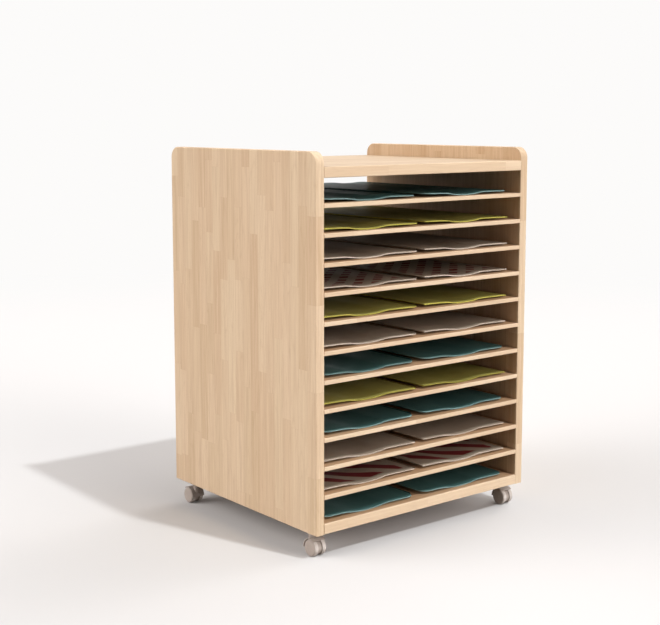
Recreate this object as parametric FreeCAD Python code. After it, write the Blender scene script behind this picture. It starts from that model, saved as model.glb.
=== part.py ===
import FreeCAD, Part
import math
import os

from FreeCAD import Vector

# Mobile rack for flat craft papers. Two side panels carry a top board, a bottom board and
# thin fixed shelves, the front and the back are open, and four twin-wheel casters roll it.
# Millimetres. The origin is on the floor under the middle of the rack, +X points right,
# +Y to the back and +Z up. The papers come out at the front, towards -Y.

# Carcass of beech stave board
rack_width = 690.0
rack_depth = 605.0
panel_thick = 25.0
board_thick = 25.0
shelf_thick = 10.0
shelf_count = 11
compartment_height = 57.3
rail_height = 34.0
corner_radius = 28.0
panel_edge_round = 2.5
board_edge_round = 2.0
shelf_edge_round = 1.2

# Stopped housings in the side panels, open at the back, that hold the shelf ends
housing_depth = 6.0
housing_stop = 14.0
housing_clearance = 0.1

# Dowels and cam fittings between the boards and the side panels
cam_spacing = 180.0
dowel_offset = 32.0
dowel_radius = 4.0
dowel_in_panel = 11.0
dowel_in_board = 23.0
dowel_chamfer = 0.8
joint_clearance = 0.05
bore_end_room = 0.5
cam_distance = 34.0
cam_radius = 7.5
cam_height = 17.0
cam_recess = 0.3
cam_drive_length = 7.0
cam_drive_width = 1.4
cam_drive_depth = 2.0
bolt_thread_radius = 3.0
bolt_thread_length = 11.0
bolt_shank_radius = 3.5
bolt_neck_radius = 2.0
bolt_head_radius = 3.2
bolt_head_length = 3.0
bolt_room = 0.4

# Twin-wheel casters
caster_height = 60.0
caster_side_inset = 29.0
caster_end_inset = 53.5
caster_trail = 14.0
plate_size = 42.0
plate_thick = 2.0
plate_corner = 4.0
plate_hole_inset = 6.0
plate_hole_radius = 2.2
wheel_radius = 20.0
wheel_width = 12.0
wheel_rim = 3.0
wheel_face = 3.0
wheel_hub_radius = 4.5
wheel_outer_round = 3.6
wheel_inner_round = 0.8
wheel_bore_cap = 1.5
web_thick = 11.0
web_setback = 2.5
wheel_side_gap = 0.5
axle_radius = 2.0
axle_fit = 0.02
running_fit = 0.05
axle_end_room = 0.3
hood_gap = 1.2
hood_thick = 1.8
hood_low_angle = -4.0
hood_high_angle = 126.0
stem_radius = 3.5
stem_collar_radius = 7.0
stem_collar_thick = 1.4
stem_floor_room = 0.6
socket_wall = 1.95
socket_floor = 2.0
boss_radius = 8.0
boss_clearance = 0.3
clip_height = 1.0
clip_groove_depth = 0.65
clip_outer_radius = 4.1
clip_above_stem_end = 3.0
clip_opening_angle = 60.0
clip_room = 0.1

# Pan-head screws that hold the caster plates
screw_radius = 1.75
screw_length = 16.0
screw_head_radius = 3.6
screw_head_height = 2.2
screw_tip = 2.0
screw_drive_length = 4.0
screw_drive_width = 0.9
screw_drive_depth = 1.2

# Papers: two waved piles side by side in each compartment
pile_left_margin = 11.0
pile_right_margin = 25.0
pile_between = 24.0
pile_setback = 18.0
pile_back_margin = 4.0
pile_thick = 3.0
pile_lift = 0.35
# (share of the pile's width, rise of its underside above its lowest line)
pile_wave_front = ((0.0, 6.9), (0.22, 5.7), (0.46, 0.0), (0.58, 1.5), (0.71, 5.0), (1.0, 4.1))
pile_wave_back = ((0.0, 2.3), (0.22, 0.7), (0.40, 2.7), (0.58, 3.6), (0.80, 0.3), (1.0, 2.9))

inner_half = rack_width / 2 - panel_thick
front_y = -rack_depth / 2
back_y = rack_depth / 2
compartment_count = shelf_count + 1
pitch = compartment_height + shelf_thick
bottom_z = caster_height
floor_z = bottom_z + board_thick
ceiling_z = floor_z + compartment_count * compartment_height + shelf_count * shelf_thick
top_z = ceiling_z + board_thick
rail_z = top_z + rail_height
hole_offset = plate_size / 2 - plate_hole_inset
pair_half = web_thick / 2 + wheel_side_gap + wheel_width
plate_low_z = caster_height - plate_thick
socket_top_z = plate_low_z - stem_collar_thick - boss_clearance
socket_low_z = wheel_radius
hood_inner = wheel_radius + hood_gap
hood_outer = hood_inner + hood_thick

AXIS_X = Vector(1, 0, 0)
AXIS_Z = Vector(0, 0, 1)


def block(low, high):
    size = Vector(*high) - Vector(*low)
    return Part.makeBox(size.x, size.y, size.z, Vector(*low))


def rod(radius, start, length, direction):
    return Part.makeCylinder(radius, length, Vector(*start), direction)


def fuse(shapes):
    return shapes[0].multiFuse(shapes[1:]).removeSplitter()


def round_edges(shape, radius, wanted):
    edges = [edge for edge in shape.Edges if wanted(edge)]
    return shape.makeFillet(radius, edges)


def lies_at(edge, axis, place):
    box = edge.BoundBox
    low = {"x": box.XMin, "y": box.YMin, "z": box.ZMin}[axis]
    high = {"x": box.XMax, "y": box.YMax, "z": box.ZMax}[axis]
    return abs(low - place) < 1e-4 and abs(high - place) < 1e-4


def is_long_arris(edge):
    """True on the front and back edges of a board that spans the rack."""
    spans = edge.BoundBox.XLength > inner_half
    return spans and (lies_at(edge, "y", front_y) or lies_at(edge, "y", back_y))


def shelf_level(number):
    """Underside of a shelf, counted from 1 at the top."""
    return ceiling_z - number * pitch


def compartment_floor(number):
    """Surface that the papers of a compartment lie on, counted from 1 at the top."""
    return ceiling_z - number * compartment_height - (number - 1) * shelf_thick


def board_joints():
    """Heights of the fittings' centre lines in the bottom and the top board."""
    return (bottom_z + board_thick / 2, ceiling_z + board_thick / 2)


def cam_places():
    return (-cam_spacing, 0.0, cam_spacing)


def dowel_places():
    places = []
    for side in (-1, 1):
        places.append(side * (cam_spacing - dowel_offset))
        places.append(side * (cam_spacing + dowel_offset))
    return places


def corners():
    """Swivel axis of each caster, and +1 at the front or -1 at the back."""
    x = rack_width / 2 - caster_side_inset
    y = rack_depth / 2 - caster_end_inset
    return {
        "front_left": (-x, -y, 1),
        "front_right": (x, -y, 1),
        "back_left": (-x, y, -1),
        "back_right": (x, y, -1),
    }


def screw_places():
    places = []
    for x, y, facing in corners().values():
        for across in (-hole_offset, hole_offset):
            for along in (-hole_offset, hole_offset):
                places.append((x + across, y + along))
    return places


# Side panels

def panel_outline(x):
    """A panel seen from the side: square at the floor, rounded at both top corners."""
    r = corner_radius
    bend = r * (1 - math.sqrt(0.5))
    low_front = Vector(x, front_y, bottom_z)
    front = Vector(x, front_y, rail_z - r)
    front_mid = Vector(x, front_y + bend, rail_z - bend)
    front_top = Vector(x, front_y + r, rail_z)
    back_top = Vector(x, back_y - r, rail_z)
    back_mid = Vector(x, back_y - bend, rail_z - bend)
    back = Vector(x, back_y, rail_z - r)
    low_back = Vector(x, back_y, bottom_z)
    edges = [
        Part.LineSegment(low_front, front),
        Part.Arc(front, front_mid, front_top),
        Part.LineSegment(front_top, back_top),
        Part.Arc(back_top, back_mid, back),
        Part.LineSegment(back, low_back),
        Part.LineSegment(low_back, low_front),
    ]
    return Part.Wire([edge.toShape() for edge in edges])


def side_panel(side):
    outer_x = side * rack_width / 2
    inner_x = side * inner_half
    face = Part.Face(panel_outline(outer_x))
    panel = face.extrude(Vector(inner_x - outer_x, 0, 0))
    panel = round_edges(
        panel,
        panel_edge_round,
        lambda edge: lies_at(edge, "x", outer_x) or lies_at(edge, "x", inner_x),
    )
    deep_x = inner_x + side * housing_depth
    cuts = []
    for number in range(1, shelf_count + 1):
        low = shelf_level(number)
        high = low + shelf_thick + housing_clearance
        past_back = back_y + panel_edge_round
        low_corner = (min(inner_x, deep_x), front_y + housing_stop, low)
        high_corner = (max(inner_x, deep_x), past_back, high)
        cuts.append(block(low_corner, high_corner))
    outward = AXIS_X * side
    for z in board_joints():
        for y in dowel_places():
            depth = dowel_in_panel + bore_end_room
            cuts.append(rod(dowel_radius + joint_clearance, (inner_x, y, z), depth, outward))
        for y in cam_places():
            depth = bolt_thread_length + bore_end_room
            cuts.append(rod(bolt_thread_radius + joint_clearance, (inner_x, y, z), depth, outward))
    cuts.extend(pilot_bores(side * inner_half, outer_x))
    return panel.cut(Part.makeCompound(cuts))


def pilot_bores(x_from, x_to):
    """Screw holes under the rack whose centres lie between two planes."""
    low, high = sorted((x_from, x_to))
    bores = []
    for x, y in screw_places():
        if low < x < high:
            start = (x, y, bottom_z)
            depth = screw_length - plate_thick + bore_end_room
            bores.append(rod(screw_radius + joint_clearance, start, depth, AXIS_Z))
    return bores


# Top and bottom boards

def board(low_z):
    low = (-inner_half, front_y, low_z)
    high = (inner_half, back_y, low_z + board_thick)
    body = round_edges(block(low, high), board_edge_round, is_long_arris)
    middle = low_z + board_thick / 2
    cuts = []
    for side in (-1, 1):
        inward = AXIS_X * -side
        end_x = side * inner_half
        for y in dowel_places():
            depth = dowel_in_board + bore_end_room
            cuts.append(rod(dowel_radius + joint_clearance, (end_x, y, middle), depth, inward))
        for y in cam_places():
            shank_bore = bolt_shank_radius + joint_clearance
            cuts.append(rod(shank_bore, (end_x, y, middle), cam_distance, inward))
            centre = (side * (inner_half - cam_distance), y, low_z)
            depth = cam_recess + cam_height + bore_end_room
            cuts.append(rod(cam_radius + joint_clearance, centre, depth, AXIS_Z))
    if low_z == bottom_z:
        cuts.extend(pilot_bores(-inner_half, inner_half))
    return body.cut(Part.makeCompound(cuts))


# Shelves

def shelf(number):
    low_z = shelf_level(number)
    low = (-inner_half, front_y, low_z)
    high = (inner_half, back_y, low_z + shelf_thick)
    body = round_edges(block(low, high), shelf_edge_round, is_long_arris)
    reach = inner_half + housing_depth - housing_clearance
    tongue_low = (-reach, front_y + housing_stop + housing_clearance, low_z)
    tongue_high = (reach, back_y - panel_edge_round, low_z + shelf_thick)
    return fuse([body, block(tongue_low, tongue_high)])


# Dowels, cam bolts and cam discs

def dowels():
    solids = []
    for side in (-1, 1):
        for z in board_joints():
            for y in dowel_places():
                start = side * (inner_half + dowel_in_panel)
                length = dowel_in_panel + dowel_in_board
                pin = rod(dowel_radius, (start, y, z), length, AXIS_X * -side)
                solids.append(pin.makeChamfer(dowel_chamfer, pin.Edges[0:1] + pin.Edges[2:3]))
    return Part.makeCompound(solids)


def cam_bolt(side, y, z):
    """Threaded into the panel, with a necked head that the cam grips."""
    inward = AXIS_X * -side
    head_start = cam_distance - bolt_head_length / 2
    neck_start = cam_distance - cam_radius - bolt_room
    spans = (
        (bolt_thread_radius, -bolt_thread_length, 0.0),
        (bolt_shank_radius, 0.0, neck_start),
        (bolt_neck_radius, neck_start, head_start),
        (bolt_head_radius, head_start, head_start + bolt_head_length),
    )
    pieces = []
    for radius, start, end in spans:
        x = side * (inner_half - start)
        pieces.append(rod(radius, (x, y, z), end - start, inward))
    return fuse(pieces)


def cam_disc(side, y, low_z):
    """A zinc disc with a pocket round the bolt's head and a cross for the screwdriver."""
    centre_x = side * (inner_half - cam_distance)
    middle = low_z + board_thick / 2
    base_z = low_z + cam_recess
    disc = rod(cam_radius, (centre_x, y, base_z), cam_height, AXIS_Z)
    head_length = bolt_head_length + 2 * bolt_room
    head_x = centre_x + side * head_length / 2
    head_pocket = rod(bolt_head_radius + bolt_room, (head_x, y, middle), head_length, AXIS_X * -side)
    neck_slot = rod(bolt_neck_radius + bolt_room, (centre_x, y, middle), cam_radius, AXIS_X * side)
    half = cam_drive_length / 2
    thin = cam_drive_width / 2
    top = base_z + cam_drive_depth
    cross_x = block((centre_x - half, y - thin, base_z), (centre_x + half, y + thin, top))
    cross_y = block((centre_x - thin, y - half, base_z), (centre_x + thin, y + half, top))
    return disc.cut(Part.makeCompound([head_pocket, neck_slot, cross_x, cross_y]))


def cam_bolts():
    solids = []
    for side in (-1, 1):
        for z in board_joints():
            for y in cam_places():
                solids.append(cam_bolt(side, y, z))
    return Part.makeCompound(solids)


def cam_discs():
    solids = []
    for side in (-1, 1):
        for low_z in (bottom_z, ceiling_z):
            for y in cam_places():
                solids.append(cam_disc(side, y, low_z))
    return Part.makeCompound(solids)


# Casters, built with the swivel axis on Z and the wheels towards -Y

def caster_plate():
    """Steel plate with the riveted stem and the collar that the housing bears on."""
    half = plate_size / 2
    plate = block((-half, -half, plate_low_z), (half, half, caster_height))
    plate = round_edges(
        plate,
        plate_corner,
        lambda edge: abs(edge.BoundBox.ZLength - plate_thick) < 1e-4,
    )
    stem_end = socket_low_z + stem_floor_room
    collar = rod(stem_collar_radius, (0, 0, plate_low_z), stem_collar_thick, -AXIS_Z)
    stem = rod(stem_radius, (0, 0, stem_end), plate_low_z - stem_end, AXIS_Z)
    body = fuse([plate, collar, stem])
    cuts = []
    for x in (-hole_offset, hole_offset):
        for y in (-hole_offset, hole_offset):
            cuts.append(rod(plate_hole_radius, (x, y, plate_low_z), plate_thick, AXIS_Z))
    groove_z = stem_end + clip_above_stem_end - clip_room / 2
    groove = ring(
        stem_radius - clip_groove_depth,
        stem_radius + clip_room,
        groove_z,
        clip_height + clip_room,
    )
    cuts.append(groove)
    return body.cut(Part.makeCompound(cuts))


def ring(inner, outer, low_z, height):
    outside = rod(outer, (0, 0, low_z), height, AXIS_Z)
    return outside.cut(rod(inner, (0, 0, low_z), height, AXIS_Z))


def stem_clip():
    """Spring clip in the stem's groove that keeps the housing from dropping off."""
    low_z = socket_low_z + stem_floor_room + clip_above_stem_end
    inner = stem_radius - clip_groove_depth + joint_clearance
    clip = ring(inner, clip_outer_radius, low_z, clip_height)
    width = clip_outer_radius * math.tan(math.radians(clip_opening_angle / 2))
    gap = block((-width, 0, low_z), (width, clip_outer_radius, low_z + clip_height))
    return clip.cut(gap)


def side_disc(radius, half_width):
    return rod(radius, (-half_width, -caster_trail, wheel_radius), 2 * half_width, AXIS_X)


def hood_sector(radius, half_width):
    """Part of a disc round the axle, between the hood's two end angles."""
    disc = side_disc(radius, half_width)
    centre = Vector(-half_width, -caster_trail, wheel_radius)
    reach = 3 * radius
    points = [centre]
    steps = 4
    for step in range(steps + 1):
        share = step / steps
        angle = math.radians(hood_low_angle + share * (hood_high_angle - hood_low_angle))
        points.append(centre + Vector(0, math.cos(angle), math.sin(angle)) * reach)
    points.append(centre)
    wedge = Part.Face(Part.makePolygon(points)).extrude(Vector(2 * half_width, 0, 0))
    return disc.common(wedge)


def caster_housing():
    """Web between the wheels, hood over them and socket for the stem, in one moulding."""
    web_radius = wheel_radius - web_setback
    half_web = web_thick / 2
    hood = hood_sector(hood_outer, pair_half).cut(side_disc(hood_inner, pair_half))
    rib = hood_sector(hood_inner + hood_thick / 2, half_web)
    web = side_disc(web_radius, half_web)
    socket_radius = stem_radius + running_fit + socket_wall
    socket_base = socket_low_z - socket_floor
    socket = rod(socket_radius, (0, 0, socket_base), socket_top_z - socket_base, AXIS_Z)
    boss = rod(boss_radius, (0, 0, wheel_radius), socket_top_z - wheel_radius, AXIS_Z)
    boss = boss.cut(side_disc(hood_inner + hood_thick / 2, pair_half))
    body = fuse([hood, rib, web, socket, boss])
    bore = rod(stem_radius + running_fit, (0, 0, socket_low_z), socket_top_z, AXIS_Z)
    stem_end = socket_low_z + stem_floor_room
    groove_z = stem_end + clip_above_stem_end - clip_room
    groove = rod(clip_outer_radius + clip_room, (0, 0, groove_z), clip_height + 2 * clip_room, AXIS_Z)
    axle_bore = side_disc(axle_radius + axle_fit, half_web)
    return body.cut(Part.makeCompound([bore, groove])).cut(axle_bore)


def caster_axle():
    return side_disc(axle_radius, pair_half - wheel_bore_cap - axle_end_room)


def caster_wheel(side):
    """Hollow moulded wheel, closed on the outside, open towards the web."""
    inner_x = side * (web_thick / 2 + wheel_side_gap)
    outer_x = side * pair_half
    outward = AXIS_X * side
    centre = (inner_x, -caster_trail, wheel_radius)
    body = rod(wheel_radius, centre, wheel_width, outward)
    body = round_edges(body, wheel_outer_round, lambda edge: lies_at(edge, "x", outer_x))
    body = round_edges(body, wheel_inner_round, lambda edge: lies_at(edge, "x", inner_x))
    hollow = rod(wheel_radius - wheel_rim, centre, wheel_width - wheel_face, outward)
    hub = rod(wheel_hub_radius, centre, wheel_width - wheel_face, outward)
    bore = rod(axle_radius + running_fit, centre, wheel_width - wheel_bore_cap, outward)
    return fuse([body.cut(hollow), hub]).cut(bore)


def placed(shape, corner):
    """A caster piece at its corner of the rack, with the wheels towards that end."""
    x, y, facing = corners()[corner]
    piece = shape.copy()
    if facing < 0:
        piece.rotate(Vector(0, 0, 0), AXIS_Z, 180)
    piece.translate(Vector(x, y, 0))
    return piece


def caster_screw():
    """Pan-head wood screw under a plate, with a pointed tip and a cross in its head."""
    head = rod(screw_head_radius, (0, 0, plate_low_z - screw_head_height), screw_head_height, AXIS_Z)
    head = round_edges(
        head,
        screw_head_height / 2,
        lambda edge: lies_at(edge, "z", plate_low_z - screw_head_height),
    )
    shank = rod(screw_radius, (0, 0, plate_low_z), screw_length - screw_tip, AXIS_Z)
    tip_z = plate_low_z + screw_length - screw_tip
    tip = Part.makeCone(screw_radius, 0, screw_tip, Vector(0, 0, tip_z))
    low = plate_low_z - screw_head_height
    half = screw_drive_length / 2
    thin = screw_drive_width / 2
    cross_x = block((-half, -thin, low), (half, thin, low + screw_drive_depth))
    cross_y = block((-thin, -half, low), (thin, half, low + screw_drive_depth))
    return fuse([head, shank, tip]).cut(Part.makeCompound([cross_x, cross_y]))


def caster_screws():
    solids = []
    for x, y in screw_places():
        screw = caster_screw()
        screw.translate(Vector(x, y, 0))
        solids.append(screw)
    return Part.makeCompound(solids)


def stem_clips():
    return Part.makeCompound([placed(stem_clip(), corner) for corner in corners()])


# Papers

def pile_section(left_x, width, low_z, y, wave):
    """Closed section of a waved pile in a plane across the rack."""
    under = [Vector(left_x + share * width, y, low_z + rise) for share, rise in wave]
    over = [point + AXIS_Z * pile_thick for point in under]
    lower = Part.BSplineCurve()
    lower.interpolate(under)
    upper = Part.BSplineCurve()
    upper.interpolate(over)
    left = Part.LineSegment(under[0], over[0])
    right = Part.LineSegment(under[-1], over[-1])
    edges = [lower.toShape(), right.toShape(), upper.toShape(), left.toShape()]
    return Part.Wire(Part.__sortEdges__(edges))


def pile(left_x, width, low_z):
    front = pile_section(left_x, width, low_z, front_y + pile_setback, pile_wave_front)
    back = pile_section(left_x, width, low_z, back_y - pile_back_margin, pile_wave_back)
    return Part.makeLoft([front, back], True, True)


def papers(number):
    room = 2 * inner_half - pile_left_margin - pile_between - pile_right_margin
    width = room / 2
    low_z = compartment_floor(number) + pile_lift
    first_x = -inner_half + pile_left_margin
    second_x = first_x + width + pile_between
    return Part.makeCompound([pile(x, width, low_z) for x in (first_x, second_x)])


parts = {
    "side_panel_left": side_panel(-1),
    "side_panel_right": side_panel(1),
    "top_board": board(ceiling_z),
    "bottom_board": board(bottom_z),
    "dowels": dowels(),
    "cam_bolts": cam_bolts(),
    "cam_discs": cam_discs(),
    "caster_screws": caster_screws(),
    "stem_clips": stem_clips(),
}
for number in range(1, shelf_count + 1):
    parts[f"shelf_{number:02d}"] = shelf(number)
for number in range(1, compartment_count + 1):
    parts[f"papers_{number:02d}"] = papers(number)
for corner, (x, y, facing) in corners().items():
    outer_side = 1 if x * facing > 0 else -1
    parts[f"{corner}_caster_plate"] = placed(caster_plate(), corner)
    parts[f"{corner}_caster_housing"] = placed(caster_housing(), corner)
    parts[f"{corner}_caster_axle"] = placed(caster_axle(), corner)
    parts[f"{corner}_wheel_outer"] = placed(caster_wheel(outer_side), corner)
    parts[f"{corner}_wheel_inner"] = placed(caster_wheel(-outer_side), corner)

os.makedirs("parts", exist_ok=True)
for name, shape in parts.items():
    shape.exportStep(os.path.join("parts", name + ".step"))
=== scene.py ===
import math

import bmesh
import bpy
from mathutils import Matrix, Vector


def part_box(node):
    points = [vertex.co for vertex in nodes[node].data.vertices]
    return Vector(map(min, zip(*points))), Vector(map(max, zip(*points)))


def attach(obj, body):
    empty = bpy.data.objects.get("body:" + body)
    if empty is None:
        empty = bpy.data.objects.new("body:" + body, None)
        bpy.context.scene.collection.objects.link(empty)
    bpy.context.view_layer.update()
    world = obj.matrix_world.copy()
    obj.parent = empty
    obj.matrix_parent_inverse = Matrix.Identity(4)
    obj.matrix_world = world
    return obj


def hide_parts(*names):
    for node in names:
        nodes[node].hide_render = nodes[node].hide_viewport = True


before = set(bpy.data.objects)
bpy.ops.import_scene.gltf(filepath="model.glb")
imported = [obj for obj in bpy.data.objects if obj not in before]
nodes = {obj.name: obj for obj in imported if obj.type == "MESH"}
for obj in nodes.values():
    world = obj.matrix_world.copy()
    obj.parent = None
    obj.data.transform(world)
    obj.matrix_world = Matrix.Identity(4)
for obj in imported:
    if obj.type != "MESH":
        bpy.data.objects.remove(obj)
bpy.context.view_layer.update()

# ---------------------------------------------------------------------------
# Camera
# A long lens about a metre up, nearly three metres off the rack's front left corner.
# It is tilted a little down and shifted down for the rest, so uprights look upright.
# ---------------------------------------------------------------------------
CAMERA_PLACE = (-2.0457, -2.4693, 1.0174)
CAMERA_HEADING = 38.794
CAMERA_TILT = -7.155
CAMERA_LENS = 67.727
CAMERA_SENSOR = 36.0
CAMERA_SHIFT = -0.06

camera_data = bpy.data.cameras.new("camera")
camera_data.sensor_width = CAMERA_SENSOR
camera_data.lens = CAMERA_LENS
camera_data.shift_y = CAMERA_SHIFT
camera = bpy.data.objects.new("camera", camera_data)
camera.location = CAMERA_PLACE
camera.rotation_euler = (math.radians(90 + CAMERA_TILT), 0, -math.radians(CAMERA_HEADING))
bpy.context.scene.collection.objects.link(camera)
bpy.context.scene.camera = camera
bpy.context.scene.view_settings.view_transform = "Standard"

# ---------------------------------------------------------------------------
# Studio
# A pale seamless floor, a soft box at each side, two in front at different heights,
# and one harder lamp high in front that throws the rack's shadow back and to the left.
# ---------------------------------------------------------------------------
STUDIO_WHITE = (0.975, 0.965, 0.955)
DAYLIGHT_COLOUR = (1.0, 0.922, 0.879)
DAYLIGHT_ALL_ROUND = 0.035
# (direction it shines from, strength, narrowness)
LEFT_BOX = ((-0.85, 0.38, 0.365), 5.65, 8.0)
RIGHT_BOX = ((0.93, 0.0, 0.365), 4.5, 6.0)
LOW_FRONT_BOX = ((0.25, -0.965, 0.08), 7.2, 24.0)
FRONT_BOX = ((0.225, -0.878, 0.423), 4.1, 24.0)
LAMP_STRENGTH = 1.36
LAMP_FROM = Vector((0.155, -0.515, 0.84))
LAMP_SOFTNESS = 2.5
FLOOR_SIZE = 60.0
FLOOR_COLOUR = (0.692, 0.709, 0.722)
FLOOR_BOUNCE = (0.22, 0.19, 0.16)
SEAM_START = 2.2
SEAM_END = 5.0


class Recipe:
    """A node tree, of a finish or of a shape, with short ways to add and join nodes."""

    def __init__(self, tree):
        self.tree = tree
        self.nodes = tree.nodes
        self.nodes.clear()

    def add(self, kind, inputs=None, **settings):
        node = self.nodes.new(kind)
        for name, value in settings.items():
            setattr(node, name, value)
        for name, value in (inputs or {}).items():
            self.feed(node.inputs[name], value)
        return node

    def feed(self, socket, value):
        """Joins an input to another node's output, or sets its value."""
        if isinstance(value, bpy.types.NodeSocket):
            self.tree.links.new(value, socket)
        elif isinstance(value, tuple) and len(value) == 3 and socket.type == "RGBA":
            socket.default_value = (*value, 1.0)
        else:
            socket.default_value = value

    def math(self, operation, a, b=0.0):
        return self.add("ShaderNodeMath", {0: a, 1: b}, operation=operation).outputs[0]

    def mix(self, share, a, b, blend="MIX"):
        """A colour between two others: share 0 is the first, 1 the second or the blend."""
        node = self.add("ShaderNodeMix", data_type="RGBA", blend_type=blend)
        colours = [socket for socket in node.inputs if socket.type == "RGBA"]
        self.feed(node.inputs[0], share)
        self.feed(colours[0], a)
        self.feed(colours[1], b)
        return [socket for socket in node.outputs if socket.type == "RGBA"][0]

    def spread(self, value, low, high, new_low=0.0, new_high=1.0, smooth=False):
        """Maps a value from the range low to high onto the new range, and no further."""
        kind = "SMOOTHSTEP" if smooth else "LINEAR"
        node = self.add("ShaderNodeMapRange", interpolation_type=kind)
        for socket, given in zip(node.inputs[:5], (value, low, high, new_low, new_high)):
            self.feed(socket, given)
        return node.outputs[0]

    def vector_math(self, operation, a, b):
        return self.add("ShaderNodeVectorMath", {0: a, 1: b}, operation=operation).outputs[0]

    def split(self, vector):
        return self.add("ShaderNodeSeparateXYZ", {0: vector}).outputs

    def split_colour(self, colour):
        return self.add("ShaderNodeSeparateColor", {0: colour}).outputs

    def combine(self, x, y, z):
        return self.add("ShaderNodeCombineXYZ", {0: x, 1: y, 2: z}).outputs[0]

    def noise(self, vector, scale, detail, roughness):
        inputs = {"Vector": vector, "Scale": scale, "Detail": detail, "Roughness": roughness}
        return self.add("ShaderNodeTexNoise", inputs).outputs["Fac"]

    def object_place(self):
        return self.add("ShaderNodeTexCoord").outputs["Object"]

    def attribute(self, name):
        return self.add("ShaderNodeAttribute", attribute_name=name).outputs["Fac"]

    def seen_directly(self):
        """1 for what the camera sees, also in a reflection, and 0 for scattered light."""
        path = self.add("ShaderNodeLightPath").outputs
        return self.math("MAXIMUM", path["Is Camera Ray"], path["Is Glossy Ray"])

    def profile(self, value, points, handle="AUTO_CLAMPED"):
        """A curve through the given (place, height) points."""
        curve = self.add("ShaderNodeFloatCurve", {"Value": value})
        line = curve.mapping.curves[0]
        line.points[0].location = points[0]
        line.points[1].location = points[-1]
        for point in points[1:-1]:
            line.points.new(*point)
        for point in line.points:
            point.handle_type = handle
        curve.mapping.update()
        return curve.outputs[0]

    def finish(self, surface):
        self.add("ShaderNodeOutputMaterial", {"Surface": surface})


def new_recipe(name):
    """A new material, and the recipe to fill it with."""
    material = bpy.data.materials.new(name)
    material.use_nodes = True
    return material, Recipe(material.node_tree)


world = bpy.data.worlds.new("studio")
world.use_nodes = True
bpy.context.scene.world = world
sky = Recipe(world.node_tree)
towards = sky.add("ShaderNodeTexCoord").outputs["Generated"]


def soft_box(source, strength, narrowness):
    """Light that is strongest from one direction and fades away from it."""
    facing = sky.add("ShaderNodeVectorMath", {0: towards, 1: source}, operation="DOT_PRODUCT")
    facing = sky.math("MAXIMUM", facing.outputs["Value"], 0.0)
    return sky.math("MULTIPLY", sky.math("POWER", facing, narrowness), strength)


daylight = DAYLIGHT_ALL_ROUND
for box in (LEFT_BOX, RIGHT_BOX, LOW_FRONT_BOX, FRONT_BOX):
    daylight = sky.math("ADD", daylight, soft_box(*box))
light = sky.add("ShaderNodeBackground", {"Color": DAYLIGHT_COLOUR, "Strength": daylight})
backdrop = sky.add("ShaderNodeBackground", {"Color": STUDIO_WHITE, "Strength": 1.0})
both = sky.add("ShaderNodeMixShader", {
    0: sky.seen_directly(),
    1: light.outputs[0],
    2: backdrop.outputs[0],
})
sky.add("ShaderNodeOutputWorld", {"Surface": both.outputs[0]})

lamp_data = bpy.data.lights.new("lamp", "SUN")
lamp_data.energy = LAMP_STRENGTH
lamp_data.angle = math.radians(LAMP_SOFTNESS)
lamp = bpy.data.objects.new("lamp", lamp_data)
lamp.rotation_euler = LAMP_FROM.to_track_quat("Z", "Y").to_euler()
bpy.context.scene.collection.objects.link(lamp)

floor_mesh = bpy.data.meshes.new("floor")
half = FLOOR_SIZE / 2
corners = [(-half, -half, 0), (half, -half, 0), (half, half, 0), (-half, half, 0)]
floor_mesh.from_pydata(corners, [], [(0, 1, 2, 3)])
floor = bpy.data.objects.new("floor", floor_mesh)
bpy.context.scene.collection.objects.link(floor)
floor_material, shader = new_recipe("floor_paper")
away = shader.add("ShaderNodeVectorMath", {0: shader.object_place()}, operation="LENGTH")
far = shader.spread(away.outputs["Value"], SEAM_START, SEAM_END, smooth=True)
seen = shader.seen_directly()
paper = shader.add("ShaderNodeBsdfDiffuse", {"Color": shader.mix(seen, FLOOR_BOUNCE, FLOOR_COLOUR)})
seam = shader.add("ShaderNodeEmission", {"Color": STUDIO_WHITE, "Strength": 1.0})
share = shader.math("MULTIPLY", far, seen)
blend = shader.add("ShaderNodeMixShader", {0: share, 1: paper.outputs[0], 2: seam.outputs[0]})
shader.finish(blend.outputs[0])
floor_mesh.materials.append(floor_material)

# ---------------------------------------------------------------------------
# Side panels
# Solid beech glued up from narrow staves that run upright, planed, sanded and clear
# lacquered, with the inside faces darkened as painted shade. The shelves sit in housings there.
# ---------------------------------------------------------------------------
# (width, shortest length, longest length) of the staves
PANEL_STAVES = (0.032, 0.16, 0.46)
BEECH_PALE = (0.777, 0.643, 0.465)
BEECH_DEEP = (0.655, 0.504, 0.336)
BEECH_PINK = (0.712, 0.526, 0.371)
BEECH_LIGHT = (0.855, 0.718, 0.542)
GRAIN_BROWN = (0.430, 0.272, 0.155)
INSIDE_PAINTED_SHADE = (0.800, 0.740, 0.680)
# The painted shade on the inside face is full up to the first depth and gone at the second
INSIDE_PAINTED_SHADE_DEPTH = (0.0002, 0.0008)
# (stretch along the stave, scale, detail, roughness) of each layer of the grain
RING_NOISE = (0.09, 26.0, 1.5, 0.45)
STREAK_NOISE = (0.030, 150.0, 3.0, 0.6)
SHEEN_NOISE = (0.022, 210.0, 2.0, 0.55)
FIBRE_NOISE = (0.03, 900.0, 2.0, 0.6)
FLECK_NOISE = (0.14, 1500.0, 0.0, 0.5)
# (noise from, noise to, result from, result to)
STREAK_SHARE = (0.42, 0.72, 0.0, 0.26)
SHEEN_SHARE = (0.52, 0.72, 0.0, 0.40)
FIBRE_SHARE = (0.3, 0.8, 0.0, 0.13)
BEECH_ROUGHNESS = (0.2, 0.8, 0.40, 0.54)
FLECK_START = 0.66
FLECK_FULL = 0.74
FLECK_SHARE = 0.16
PINK_SHARE = 0.35
RING_SHARE = 0.16
RINGS_FEWEST = 9.0
RINGS_MOST = 20.0
RING_SHARPNESS = 2.5
GRAIN_APART = (40, 40, 40)
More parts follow.
